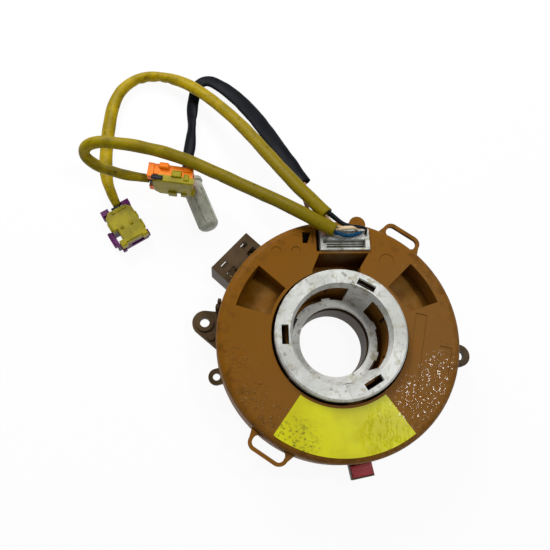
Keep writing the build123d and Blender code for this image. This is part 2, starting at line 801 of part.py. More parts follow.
def place_grey(shape):
    return Pos(grey_start[0], grey_start[1], collar_radius) * Rot(0, 0, grey_turn) * shape


nodes = {}
nodes["rear_housing"] = make_rear_housing()
nodes["rear_connector_pins"] = make_rear_pins()
nodes["lower_slip_sheet"] = make_slip_sheet(base_thickness)
nodes["retaining_clip"] = make_retaining_clip()
stator_block = make_terminal_block(housing_radius - housing_wall, connector_angle)
nodes["stator_terminal_block"] = stator_block - make_rear_pins()
nodes["red_tab"] = make_red_tab()
nodes["rotor_cover"] = make_rotor_cover()
nodes["winding_drum"] = make_winding_drum()
nodes["hub_sleeve"] = make_hub_sleeve()
nodes["upper_slip_sheet"] = make_slip_sheet(disc_bottom - slip_thickness)
nodes["rotor_terminal_block"] = make_terminal_block(winding_radius - winding_wall, connector_angle - 180)
nodes["ribbon_cable"] = make_ribbon()
nodes["lock_ring"] = make_lock_ring()
nodes["lock_spring"] = make_lock_spring()
nodes["cover_sticker"] = make_sticker()
nodes["wire_header"] = make_wire_header()
nodes["header_pins"] = make_header_pins()
nodes["yellow_sleeve_purple"] = make_cord(purple_route, sleeve_diameter, "yellow_sleeve_purple")
nodes["yellow_sleeve_orange"] = make_cord(orange_route, sleeve_diameter, "yellow_sleeve_orange")
nodes["black_sleeve"] = make_cord(black_route, black_diameter, "black_sleeve")
nodes["blue_wire"] = make_cord(blue_route, wire_diameter, "blue_wire")
nodes["tan_wire"] = make_cord(tan_route, wire_diameter, "tan_wire")
nodes["dark_wire"] = make_cord(dark_route, black_wire_diameter, "dark_wire")
nodes["green_wire"] = make_cord(green_route, wire_diameter, "green_wire")
nodes["rose_wire"] = make_cord(rose_route, wire_diameter, "rose_wire")

plug_parts = {
    "housing": make_plug_housing(),
    "cover": make_plug_cover(),
    "ferrite": make_plug_ferrite(),
    "contacts": make_plug_contacts(),
}
for part, shape in plug_parts.items():
    nodes["purple_plug_" + part] = place_plug(purple_place, purple_turn, shape)
    shift, lift = plug_frame(True)
    raised = Pos(0, 0, shift) * shape
    nodes["orange_plug_" + part] = place_plug(orange_place, orange_turn, raised, orange_base + lift, True)
nodes["grey_plug_body"] = place_grey(Pos(collar_length, 0, 0) * make_grey_body())
nodes["grey_plug_collar"] = place_grey(along_plug(collar_radius, collar_length))
nodes["grey_plug_contact"] = place_grey(Pos(collar_length, 0, 0) * along_plug(grey_contact_radius, grey_contact_length))

for name, shape in nodes.items():
    export_step(shape, "parts/" + name + ".step")
    print(name, "solids", len(shape.solids()), "volume", round(shape.volume, 1))
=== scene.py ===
# %% [markdown]
# A steering clock spring
#
# This notebook dresses a steering clock spring: the round unit behind a steering wheel that carries
# current from the column to the turning wheel through a long flat ribbon. The orange-brown cover and
# the white hub ring turn, the dark brown housing with its ears stays still, and three sleeved leads
# leave the white header. The construction comes ready from the CAD frame. Here every surface gets its
# finish, and the leads become soft tubes.

# %% Load the fixed frame
import math

import bpy
from mathutils import Matrix, Vector, noise


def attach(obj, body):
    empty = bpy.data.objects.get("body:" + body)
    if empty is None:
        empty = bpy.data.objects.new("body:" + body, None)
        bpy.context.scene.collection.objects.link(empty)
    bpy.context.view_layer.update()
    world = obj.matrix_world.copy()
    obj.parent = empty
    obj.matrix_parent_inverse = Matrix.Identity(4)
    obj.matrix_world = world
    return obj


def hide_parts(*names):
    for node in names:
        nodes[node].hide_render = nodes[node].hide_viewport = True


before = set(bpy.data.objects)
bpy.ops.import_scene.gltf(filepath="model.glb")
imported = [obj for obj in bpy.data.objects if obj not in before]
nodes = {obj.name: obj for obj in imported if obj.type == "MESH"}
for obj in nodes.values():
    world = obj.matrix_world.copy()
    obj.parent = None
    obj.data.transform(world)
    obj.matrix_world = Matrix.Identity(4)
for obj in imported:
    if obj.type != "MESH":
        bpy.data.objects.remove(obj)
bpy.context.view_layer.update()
print("CAD nodes:", len(nodes))

# %% [markdown]
# The camera
#
# The photo looks down on the unit from a little to the left and below the picture's middle. A camera
# can be aimed at a point, but that leaves its roll open. This view was worked out from the circles of
# the cover and the ring, so the camera is set by its place and its three axes, and by the lens.

# %% Camera
CAMERA_PLACE = (-0.05014, -0.05112, 0.28241)
CAMERA_RIGHT = (0.995935, -0.036719, 0.082251)
CAMERA_UP = (0.010673, 0.954812, 0.297018)
CAMERA_BACK = (-0.089440, -0.294933, 0.951323)
LENS = 40.376
SENSOR = 36.0

camera_data = bpy.data.cameras.new("photo_camera")
camera_data.lens = LENS
camera_data.sensor_width = SENSOR
camera_data.clip_start = 0.01
camera = bpy.data.objects.new("photo_camera", camera_data)
bpy.context.scene.collection.objects.link(camera)
turn = Matrix((CAMERA_RIGHT, CAMERA_UP, CAMERA_BACK)).transposed().to_4x4()
camera.matrix_world = Matrix.Translation(CAMERA_PLACE) @ turn
bpy.context.scene.camera = camera
bpy.context.scene.view_settings.view_transform = "Standard"
print("camera at", CAMERA_PLACE)

# %% [markdown]
# Colours and nodes
#
# Colours are written as sRGB hex values, and shaders work in linear light, so one function turns the
# first into the second. Another adds a shader node, sets it up and links it, and a few more lay
# patches, round spots and stains, which keeps each material short enough to read. Every pattern has
# its real size in millimetres and lies on the object's own coordinates, so it stays put on its piece.

# %% Helpers for colours and nodes
MM = 0.001


def colour(hex_value):
    """An sRGB hex value as linear red, green, blue and an alpha of 1."""
    channels = []
    for start in (1, 3, 5):
        value = int(hex_value[start:start + 2], 16) / 255
        channels.append(value / 12.92 if value <= 0.04045 else ((value + 0.055) / 1.055) ** 2.4)
    return (*channels, 1.0)


def add(tree, kind, inputs=None, **settings):
    """Adds one node. A socket given as an input is linked, and anything else is set as its value."""
    made = tree.nodes.new(kind)
    for name, value in settings.items():
        setattr(made, name, value)
    for name, value in (inputs or {}).items():
        if isinstance(value, bpy.types.NodeSocket):
            tree.links.new(value, made.inputs[name])
        else:
            made.inputs[name].default_value = value
    return made


def start_material(name, roughness, ior=1.5, metallic=0.0, specular=0.5):
    """A material with its shader and the object's own coordinates."""
    material = bpy.data.materials.new(name)
    material.use_nodes = True
    tree = material.node_tree
    tree.nodes.clear()
    shader = add(tree, "ShaderNodeBsdfPrincipled", {
        "Roughness": roughness, "IOR": ior, "Metallic": metallic, "Specular IOR Level": specular})
    add(tree, "ShaderNodeOutputMaterial", {"Surface": shader.outputs[0]})
    place = add(tree, "ShaderNodeTexCoord").outputs["Object"]
    return material, tree, shader, place


NOISE_ROUGHNESS = 0.6


def patches(tree, place, size_mm, low, high, detail=4.0, offset=(0, 0, 0), stretch=(1, 1, 1)):
    """A mask of soft-edged patches about size_mm wide, from 0 below low to 1 above high."""
    moved = add(tree, "ShaderNodeMapping", {"Vector": place, "Location": offset, "Scale": stretch})
    cloud = add(tree, "ShaderNodeTexNoise", {
        "Vector": moved.outputs[0], "Scale": 1 / (size_mm * MM), "Detail": detail,
        "Roughness": NOISE_ROUGHNESS})
    mask = add(tree, "ShaderNodeMapRange", {
        "Value": cloud.outputs[0], "From Min": low, "From Max": high}, interpolation_type="SMOOTHSTEP")
    return mask.outputs[0]


def spot(tree, place, centre_mm, radius_mm, soft_mm):
    """A round mask about one place, 1 inside and 0 outside."""
    centre = [value * MM for value in centre_mm]
    away = add(tree, "ShaderNodeVectorMath", {0: place, 1: centre}, operation="DISTANCE")
    mask = add(tree, "ShaderNodeMapRange", {
        "Value": away.outputs["Value"], "From Min": radius_mm * MM,
        "From Max": (radius_mm + soft_mm) * MM, "To Min": 1.0, "To Max": 0.0},
        interpolation_type="SMOOTHSTEP")
    return mask.outputs[0]


def both(tree, first, second, operation="MULTIPLY"):
    """Two masks put together by one sum, clamped to 0 and 1."""
    joined = add(tree, "ShaderNodeMath", {0: first, 1: second}, operation=operation, use_clamp=True)
    return joined.outputs[0]


def outside(tree, place, centre_mm, radius_mm, soft_mm):
    """The round mask turned over: 0 inside and 1 outside."""
    return both(tree, 1.0, spot(tree, place, centre_mm, radius_mm, soft_mm), "SUBTRACT")


def blended(tree, mask, first, second):
    """The first colour where the mask is 0 and the second where it is 1."""
    mix = add(tree, "ShaderNodeMix", {0: mask, 6: first, 7: second}, data_type="RGBA")
    return mix.outputs[2]


def stained(tree, base, mask, amount, hex_value):
    """The base colour with a stain of one colour where the mask is 1, by an amount from 0 to 1."""
    return blended(tree, both(tree, mask, amount), base, colour(hex_value))


def bumped(tree, shader, height, distance_mm, under=None):
    """Raises the surface by a height mask. Another bump may lie under it."""
    inputs = {"Height": height, "Distance": distance_mm * MM, "Strength": 1.0}
    if under is not None:
        inputs["Normal"] = under
    normal = add(tree, "ShaderNodeBump", inputs).outputs[0]
    tree.links.new(normal, shader.inputs["Normal"])
    return normal


def paint(material, *names):
    """Gives CAD nodes their finish."""
    for name in names:
        data = nodes[name].data
        data.materials.clear()
        data.materials.append(material)


def dress(piece, material):
    """Gives a new piece its finish."""
    piece.data.materials.append(material)


# %% [markdown]
# The leads
#
# Each lead is a soft sleeve with its wires inside: two are yellow and one is black. A curve with a
# round bevel would make a rod, but a sleeve is a hollow tube: it ends in an open mouth, goes flat
# where it is pinched, and buckles on the inside of a tight bend. So the route's own points make a
# smooth line, and rings of points are set along that line, each ring a little wider, flatter or dented
# as its place on the lead asks.

# %% Routes, in metres, as in the construction
purple_route = [
    (-0.0034, 0.0526, 0.0366), (-0.0138, 0.0650, 0.0344), (-0.0249, 0.0827, 0.0284),
    (-0.0369, 0.1036, 0.0204), (-0.0506, 0.1224, 0.0130), (-0.0646, 0.1362, 0.0086),
    (-0.0776, 0.1430, 0.0046), (-0.0886, 0.1442, 0.0028), (-0.0979, 0.1386, 0.0027),
    (-0.1029, 0.1286, 0.0028), (-0.1047, 0.1156, 0.0027), (-0.1054, 0.1032, 0.0028),
    (-0.1054, 0.0912, 0.0029), (-0.1030, 0.0791, 0.0040), (-0.0986, 0.0708, 0.0042),
]
orange_route = [
    (-0.0006, 0.0446, 0.0376), (-0.0118, 0.0512, 0.0378), (-0.0261, 0.0610, 0.0342),
    (-0.0422, 0.0705, 0.0306), (-0.0570, 0.0792, 0.0286), (-0.0704, 0.0854, 0.0283),
    (-0.0836, 0.0886, 0.0292), (-0.0956, 0.0902, 0.0302), (-0.1042, 0.0909, 0.0300),
    (-0.1106, 0.0902, 0.0266), (-0.1118, 0.0883, 0.0202), (-0.1066, 0.0858, 0.0160),
    (-0.0994, 0.0828, 0.0164), (-0.0914, 0.0796, 0.0180), (-0.0821, 0.0783, 0.0185),
]
black_route = [
    (-0.0112, 0.0714, 0.0286), (-0.0200, 0.0887, 0.0230), (-0.0280, 0.1078, 0.0154),
    (-0.0366, 0.1246, 0.0082), (-0.0464, 0.1374, 0.0036), (-0.0550, 0.1434, 0.0024),
    (-0.0610, 0.1396, 0.0025), (-0.0631, 0.1296, 0.0023), (-0.0633, 0.1164, 0.0024),
    (-0.0642, 0.1040, 0.0026), (-0.0660, 0.0930, 0.0042), (-0.0642, 0.0837, 0.0057),
]
blue_route = [
    (-0.0005, 0.0446, 0.0368), (0.0028, 0.04295, 0.0362), (0.0066, 0.0428, 0.0354),
    (0.0099, 0.0441, 0.0349), (0.0112, 0.0452, 0.0333), (0.0112, 0.0452, 0.0314),
]
tan_route = [
    (-0.0041, 0.0520, 0.0366), (-0.0014, 0.0486, 0.0360), (0.0018, 0.0464, 0.0360),
    (0.0058, 0.0466, 0.0360), (0.0094, 0.0470, 0.0350), (0.0100, 0.0456, 0.0330),
    (0.0092, 0.0452, 0.0314),
]
dark_route = [
    (-0.0028, 0.0532, 0.0370), (0.0004, 0.0504, 0.0368), (0.0036, 0.0480, 0.0362),
    (0.0074, 0.0474, 0.0352), (0.0112, 0.0472, 0.0354), (0.0140, 0.0466, 0.0346),
    (0.0144, 0.0456, 0.0330), (0.0140, 0.0450, 0.0314),
]
green_route = [
    (-0.0038, 0.0520, 0.0356), (-0.0026, 0.0498, 0.0351), (-0.0016, 0.0468, 0.0342),
    (-0.0014, 0.0446, 0.0322),
]
rose_route = [
    (-0.0111, 0.0712, 0.0287), (-0.0122, 0.0665, 0.0290), (-0.0116, 0.0610, 0.0302),
    (-0.0106, 0.0560, 0.0318), (-0.0090, 0.0524, 0.0330), (-0.0069, 0.0495, 0.0337),
    (-0.0050, 0.0460, 0.0341), (-0.0045, 0.0446, 0.0322),
]
# Two more strands lie beside the tan and the blue wire. The construction doesn't have them.
second_tan_route = [
    (-0.0002, 0.0452, 0.0372), (0.0026, 0.0455, 0.0370), (0.0062, 0.0459, 0.0368),
    (0.0092, 0.0464, 0.0356), (0.0108, 0.0456, 0.0336), (0.0104, 0.0450, 0.0318),
]
second_blue_route = [
    (0.0000, 0.0442, 0.0356), (0.0034, 0.0434, 0.0348), (0.0072, 0.0436, 0.0340),
    (0.0104, 0.0444, 0.0342), (0.0122, 0.0454, 0.0332), (0.0122, 0.0454, 0.0316),
]

# %% [markdown]
# From given points to a smooth line
#
# Straight stretches from point to point would show a corner at each. A NURBS curve of order 3 rounds
# them off, and the curve read back as a mesh gives points along it. They are then set at even steps,
# because rings at uneven steps would stretch the dents.

# %% A smooth line along a route
LINE_STEPS = 16
ROUNDING = 5


def smooth_curve(name, points, thickness=0.0, end_share=1.0):
    """A NURBS curve with the route's points as its control points. end_share is its last thickness over
    its first."""
    data = bpy.data.curves.new(name, "CURVE")
    data.dimensions = "3D"
    data.resolution_u = LINE_STEPS
    data.bevel_depth = thickness / 2
    data.bevel_resolution = ROUNDING
    data.use_fill_caps = True
    line = data.splines.new("NURBS")
    line.points.add(len(points) - 1)
    for index, (point, place) in enumerate(zip(line.points, points)):
        point.co = (*place, 1.0)
        point.radius = 1 + (end_share - 1) * index / (len(points) - 1)
    line.order_u = 3
    line.use_endpoint_u = True
    piece = bpy.data.objects.new(name, data)
    bpy.context.scene.collection.objects.link(piece)
    return piece


def line_points(points, step):
    """Evenly spaced points along the smooth line of a route."""
    guide = smooth_curve("route_guide", points)
    mesh = bpy.data.meshes.new_from_object(guide)
    raw = [vertex.co.copy() for vertex in mesh.vertices]
    bpy.data.objects.remove(guide)
    bpy.data.meshes.remove(mesh)
    spaced = [raw[0]]
    left = step
    for before, after in zip(raw, raw[1:]):
        reach = (after - before).length
        while reach > left:
            before = before.lerp(after, left / reach)
            spaced.append(before.copy())
            reach -= left
            left = step
        left -= reach
    if (raw[-1] - spaced[-1]).length < step / 2:
        spaced.pop()
    spaced.append(raw[-1])
    return spaced


# %% [markdown]
# From a line to a sleeve
#
# Each ring stands square to the line and takes its sideways direction from the ring before, so the
# tube doesn't twist by itself. Soft noise moves its points in and out by a fraction of a millimetre,
# and a crease is a narrow hollow on the side of the tube that faces the crease's direction. The wall
# is an inner tube at the open end, which goes as deep as the eye can look in.

# %% Rings along the line
RING_STEP = 0.9 * MM
RING_POINTS = 28


def shape_at(marks, share):
    """Width, height and twist of the tube at a share of its length, eased between marks."""
    for (start, *first), (end, *second) in zip(marks, marks[1:]):
        if share <= end:
            step = (share - start) / (end - start)
            step = step * step * (3 - 2 * step)
            return [a + (b - a) * step for a, b in zip(first, second)]
    return list(marks[-1][1:])


def ring_around(centre, side, up, mark, share, dent_mm, dent_size_mm, creases):
    """One ring of points about the line: an ellipse of the mark's width, height and twist, dented by
    soft noise and by creases."""
    width, height, twist = mark
    spun = math.radians(twist)
    ring = []
    for step in range(RING_POINTS):
        angle = 2 * math.pi * step / RING_POINTS
        x = width / 2 * math.cos(angle)
        y = height / 2 * math.sin(angle)
        across = x * math.cos(spun) - y * math.sin(spun)
        upward = x * math.sin(spun) + y * math.cos(spun)
        out = (side * across + up * upward) * MM
        place = centre + out
        dent = noise.noise(place / (dent_size_mm * MM)) * dent_mm
        for at, spread, depth, direction in creases:
            near = math.exp(-((share - at) / spread) ** 2)
            facing = max(0.0, out.normalized().dot(Vector(direction).normalized()))
            dent -= depth * near * facing ** 2
        ring.append(place + out.normalized() * dent * MM)
    return ring


def open_mouth(line, vertices, faces, wall_mm, mouth_mm):
    """Gives the tube's first end a wall and an inner surface that ends deep inside."""
    inner = []
    for ring in range(int(mouth_mm * MM / RING_STEP)):
        inner.append(len(vertices))
        for step in range(RING_POINTS):
            outer = vertices[ring * RING_POINTS + step]
            vertices.append(outer + (line[ring] - outer).normalized() * wall_mm * MM)
    for step in range(RING_POINTS):
        beside = (step + 1) % RING_POINTS
        faces.append((beside, step, inner[0] + step, inner[0] + beside))
        for near, far in zip(inner, inner[1:]):
            faces.append((near + beside, near + step, far + step, far + beside))
    faces.append(tuple(inner[-1] + step for step in range(RING_POINTS)))


def sleeve(name, points, marks, dent_mm, dent_size_mm, wall_mm, mouth_mm=4.0, creases=()):
    """A soft tube along a route, with an open mouth at its first end. marks hold share, width, height
    and twist, in millimetres and degrees. A crease has a share, a spread, a depth and the direction it
    dents."""
    line = line_points(points, RING_STEP)
    count = len(line)
    side = Vector((0, 0, 1)).cross(line[1] - line[0]).normalized()
    vertices = []
    for index, centre in enumerate(line):
        along = (line[min(index + 1, count - 1)] - line[max(index - 1, 0)]).normalized()
        side = (side - along * side.dot(along)).normalized()
        share = index / (count - 1)
        vertices += ring_around(centre, side, along.cross(side), shape_at(marks, share), share,
                                dent_mm, dent_size_mm, creases)
    faces = []
    for ring in range(count - 1):
        near = ring * RING_POINTS
        far = near + RING_POINTS
        for step in range(RING_POINTS):
            beside = (step + 1) % RING_POINTS
            faces.append((near + step, near + beside, far + beside, far + step))
    faces.append(tuple((count - 1) * RING_POINTS + step for step in range(RING_POINTS)))
    open_mouth(line, vertices, faces, wall_mm, mouth_mm)
    mesh = bpy.data.meshes.new(name)
    mesh.from_pydata(vertices, [], faces)
    mesh.shade_smooth()
    piece = bpy.data.objects.new(name, mesh)
    bpy.context.scene.collection.objects.link(piece)
    length = sum((after - before).length for before, after in zip(line, line[1:]))
    print(name, "length", round(length / MM, 1), "mm, rings", count)
    return piece, line, length


# %% [markdown]
# The three sleeves
#
# The two yellow sleeves are nearly round except near their plugs, where they are squeezed flat. The
# black one is shrunk plastic over two wires: it is a flat band with a fold at its far bend. Widths and
# heights are given at a few shares of the length, and the tube eases from one to the next.

# %% Make the sleeves
SLEEVE_WIDTH = 6.0
BLACK_WIDTH = 6.6
YELLOW_WALL = 0.55
BLACK_WALL = 0.5
purple_lead, purple_line, purple_length = sleeve(
    "purple_plug_sleeve", purple_route,
    [(0.0, 6.2, 5.2, 0), (0.3, 6.2, 5.0, 0), (0.5, 6.0, 5.0, 0), (0.6, 5.0, 5.4, 0),
     (0.66, 5.6, 5.0, 0), (0.76, 6.7, 4.6, 0), (0.9, 6.4, 4.6, 0), (0.96, 5.0, 4.4, 10),
     (1.0, 3.8, 4.0, 30)],
    dent_mm=0.2, dent_size_mm=7.0, wall_mm=YELLOW_WALL,
    creases=[(0.56, 0.006, 0.9, (0.4, -1, 0.1)), (0.585, 0.006, 1.2, (0.4, -1, 0.1)),
             (0.615, 0.007, 1.0, (0.5, -1, 0.1)), (0.64, 0.006, 0.8, (0.8, -1, 0.1))])
orange_lead, orange_line, orange_length = sleeve(
    "orange_plug_sleeve", orange_route,
    [(0.0, 6.2, 5.2, 0), (0.2, 6.0, 5.2, 0), (0.5, 5.9, 5.0, 0), (0.68, 5.6, 5.0, 0),
     (0.77, 5.2, 5.2, 0), (0.84, 6.2, 4.8, 0), (0.92, 6.2, 4.6, 0), (0.97, 5.2, 4.0, 0),
     (1.0, 4.4, 3.4, 15)],
    dent_mm=0.22, dent_size_mm=8.0, wall_mm=YELLOW_WALL,
    creases=[(0.36, 0.008, 0.5, (0.2, -1, 0.4)), (0.79, 0.01, 0.8, (1, -0.4, 0.2))])
black_lead, black_line, black_length = sleeve(
    "black_shrink_sleeve", black_route,
    [(0.0, 6.2, 3.4, 0), (0.1, 7.4, 2.8, 0), (0.3, 8.3, 2.5, 6), (0.5, 7.8, 2.4, 0),
     (0.58, 7.0, 2.4, 0), (0.64, 6.0, 2.6, 0), (0.72, 6.6, 2.2, 14), (0.79, 5.6, 2.8, 32),
     (0.86, 6.0, 2.4, 6), (0.94, 5.4, 2.8, 0), (1.0, 4.6, 3.4, 0)],
    dent_mm=0.24, dent_size_mm=6.0, wall_mm=BLACK_WALL,
    creases=[(0.615, 0.006, 0.7, (0.3, -0.4, 1)), (0.66, 0.006, 0.6, (-0.6, 0.2, 1)),
             (0.765, 0.01, 0.6, (0.4, 0, 1))])

# %% [markdown]
# Bare wires
#
# Between the sleeves and the header the wires lie bare in short arcs. They are round and stiff, and too
# thin to show a dent, so a curve with a round bevel is enough, and it is turned into a mesh. A wire has
# a route, a thickness in millimetres, and the share of that thickness left at its end. The tan and the
# blue wire each have a second strand beside them.

# %% Make the wires
WIRES = {
    "blue_wire": (blue_route, 1.7, 1), "tan_wire": (tan_route, 1.7, 0.8),
    "dark_wire": (dark_route, 2.4, 0.28), "green_wire": (green_route, 1.7, 1),
    "rose_wire": (rose_route, 1.7, 1),
}
SECOND_STRANDS = {
    "tan_wire": (second_tan_route, 1.3, 0.8), "blue_wire": (second_blue_route, 1.3, 0.9),
}
wires = {}
second_strands = {}


def strand(name, route, thickness, end_share):
    """A plain round wire along a route, as a mesh."""
    guide = smooth_curve(name + "_guide", route, thickness, end_share)
    mesh = bpy.data.meshes.new_from_object(guide)
    bpy.data.objects.remove(guide)
    mesh.name = name
    mesh.shade_smooth()
    piece = bpy.data.objects.new(name, mesh)
    bpy.context.scene.collection.objects.link(piece)
    return piece


for name, (route, thickness, end_share) in WIRES.items():
    wires[name] = strand(name + "_strand", route, thickness * MM, end_share)
    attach(wires[name], "rotor")
    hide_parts(name)
for name, (route, thickness, end_share) in SECOND_STRANDS.items():
    piece = strand(name + "_second", route, thickness * MM, end_share)
    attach(piece, "rotor")
    second_strands[name] = piece
print("strands:", len(wires) + len(second_strands))

# %% [markdown]
# The leads as cords
#
# Each lead starts at the header or just beyond it, and it turns with the rotor. Its CAD node is
# hidden, since the tube takes its place.

# %% Attach the leads to the rotor
LEADS = (
    (purple_lead, purple_line, purple_length, SLEEVE_WIDTH,
     "yellow_sleeve_purple", "yellow_sleeve", "purple_plug"),
    (orange_lead, orange_line, orange_length, SLEEVE_WIDTH,
     "yellow_sleeve_orange", "yellow_sleeve", "orange_plug"),
    (black_lead, black_line, black_length, BLACK_WIDTH, "black_sleeve", "black_sleeve", "grey_plug"),
)
for lead, line, length, diameter, node, slot, plug in LEADS:
    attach(lead, "rotor")
    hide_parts(node)

# %% [markdown]
# The cover
#
# The cover is moulded glass-filled nylon, orange-brown and a little shiny, worn and greasy in places.
# Nylon scatters light softly, so its gloss is broad, and where grease lies the gloss is tight and
# breaks into glints. A picture of glints would stay put when the light moves, so the surface makes
# most of them: in a few patches the roughness drops, the bump rises and small spots get a clear coat.
# Those wet spots are also lightened in colour, a painted glint. The base colour has broad stains and
# fine grain, and it is greyer towards the lower right as a painted sheen. The bay wall before the
# header gets a painted reflection, and the well floors get painted light. The mould's own grain is
# finer than a tenth of a millimetre, too fine to show, so here and on the other plastics it is drawn
# at about half a millimetre.

# %% Cover finish
GREASE_PLACES = [
    ((31, -32, 31), 7, 10), ((42, -18, 31), 7, 5), ((20, -44, 31), 5, 6), ((-37, -24, 31), 4, 6),
    ((-43, -8, 31), 3, 4), ((-29, -34, 31), 5, 5), ((38, 26, 31), 4, 8),
]
# The well floors, where a lighter colour is painted light.
WELL_FLOORS = [(33, 20, 23), (-33, 18, 23)]
# The bay wall before the header, where a lighter colour is a painted reflection.
BAY_WALL = (3.5, 36.4, 26)
COVER_TOP = (0, 0, 31)
RIM_START, RIM_SOFT = 41, 9
# Over this reach the cover goes from a greyer brown at the lower right, a painted sheen, to orange at
# the upper left.
SHEEN_FADE_FROM, SHEEN_FADE_TO = -40, 60
DRY_ROUGHNESS, GREASY_ROUGHNESS = 0.52, 0.3
WET_COAT, WET_COAT_ROUGHNESS = 0.5, 0.08


def cover_grease(tree, place):
    """Two masks: broken patches of grease, and the small wet spots in them that shine."""
    greasy = None
    for centre, radius, soft in GREASE_PLACES:
        near = spot(tree, place, centre, radius, soft)
        greasy = near if greasy is None else both(tree, greasy, near, "MAXIMUM")
    broken = both(tree, greasy, patches(tree, place, 1.5, 0.53, 0.62, detail=3, offset=(1, 5, 0)))
    wet = both(tree, broken, patches(tree, place, 0.7, 0.5, 0.58, detail=3, offset=(2, 2, 7)))
    return broken, wet


def cover_colour(tree, place, wet):
    """Orange-brown under stains, dirt and smears, greyer towards the lower right as a painted sheen,
    with a painted reflection on the bay wall, painted light on the well floors and painted glints on
    the wet spots.
    """
    # The greyer brown towards the lower right is a painted sheen.
    axes = add(tree, "ShaderNodeSeparateXYZ", {0: place}).outputs
    lean = add(tree, "ShaderNodeMath", {0: axes["Y"], 1: axes["X"]}, operation="SUBTRACT")
    fade = add(tree, "ShaderNodeMapRange", {
        "Value": lean.outputs[0], "From Min": SHEEN_FADE_FROM * MM, "From Max": SHEEN_FADE_TO * MM})
    base = blended(tree, fade.outputs[0], colour("#7A511C"), colour("#7A4D02"))
    warm = patches(tree, place, 30, 0.42, 0.6)
    base = stained(tree, base, warm, 0.3, "#825002")
    dirt = patches(tree, place, 5, 0.66, 0.78, offset=(3, 1, 2))
    base = stained(tree, base, dirt, 0.4, "#3E2408")
    # Painted reflection: the bay wall is lightened in broad patches.
    bay_painted_reflection = both(tree, spot(tree, place, BAY_WALL, 4, 8), patches(tree, place, 14, 0.3, 0.6))
    base = stained(tree, base, bay_painted_reflection, 0.7, "#9A8462")
    # Painted light: the well floors are lightened in soft clouds.
    for centre in WELL_FLOORS:
        cloud = patches(tree, place, 5, 0.3, 0.7, detail=3)
        well_floor_painted_light = both(tree, spot(tree, place, centre, 5, 7), cloud)
        base = stained(tree, base, well_floor_painted_light, 0.5, "#94703A")
    # Painted glints: the wet spots are lightened in colour as well as coated.
    base = stained(tree, base, wet, 0.35, "#B8966A")
    smears = patches(tree, place, 3.0, 0.58, 0.72, detail=8, offset=(4, 4, 1), stretch=(0.5, 1.8, 1))
    base = stained(tree, base, smears, 0.36, "#5E3A08")
    rim = outside(tree, place, COVER_TOP, RIM_START, RIM_SOFT)
    rim_dirt = both(tree, rim, patches(tree, place, 4, 0.48, 0.66, detail=9, offset=(8, 3, 3)))
    return stained(tree, base, rim_dirt, 0.42, "#462A06")


def moulded_nylon():
    """The cover's nylon: grain all over, and grease that is smoother, raised and wet in spots."""
    material, tree, shader, place = start_material(
        "moulded_nylon_orange_brown", DRY_ROUGHNESS, specular=0.1)
    broken, wet = cover_grease(tree, place)
    tree.links.new(cover_colour(tree, place, wet), shader.inputs["Base Color"])
    rough = add(tree, "ShaderNodeMapRange", {
        "Value": broken, "To Min": DRY_ROUGHNESS, "To Max": GREASY_ROUGHNESS})
    tree.links.new(rough.outputs[0], shader.inputs["Roughness"])
    fine = bumped(tree, shader, patches(tree, place, 0.5, 0.3, 0.7, detail=2), 0.012)
    lumps = both(tree, broken, patches(tree, place, 0.8, 0.35, 0.65, detail=4))
    bumped(tree, shader, lumps, 0.2, under=fine)
    tree.links.new(both(tree, wet, WET_COAT), shader.inputs["Coat Weight"])
    shader.inputs["Coat Roughness"].default_value = WET_COAT_ROUGHNESS
    return material


paint(moulded_nylon(), "rotor_cover", "winding_drum", "hub_sleeve")


# %% [markdown]
# The housing
#
# The housing is the same moulded nylon in dark brown. It lies under the cover, away from greasy hands,
# so it has specks of dust and no wet shine. Two close browns in broad patches keep the dark surface
# from looking painted.

# %% Housing finish
def moulded_brown():
    """Dark brown nylon under specks of dust."""
    material, tree, shader, place = start_material("moulded_nylon_dark_brown", 0.5, specular=0.2)
    stain = patches(tree, place, 9, 0.4, 0.65)
    base = blended(tree, stain, colour("#523E24"), colour("#443216"))
    dust = patches(tree, place, 2, 0.62, 0.75, offset=(2, 0, 4))
    base = stained(tree, base, dust, 0.3, "#6A5E4C")
    tree.links.new(base, shader.inputs["Base Color"])
    grain = patches(tree, place, 0.6, 0.3, 0.7, detail=2)
    bumped(tree, shader, grain, 0.015)
    return material


paint(moulded_brown(), "rear_housing")


# %% [markdown]
# The white ring and the header
#
# Both are moulded acetal, a white plastic that slides well and has a soft, waxy shine. White shows
# every trace of use, so most of this finish is dirt: grime in patches, darker smears, wiped streaks,
# fine specks, a dirty outer edge and a broad greying. Each is noise of its own size, laid over the ones
# before it.

# %% White ring and header finish
RING_TOP = (0, 0, 36)
CLEAN_RADIUS, EDGE_SOFT = 25, 4


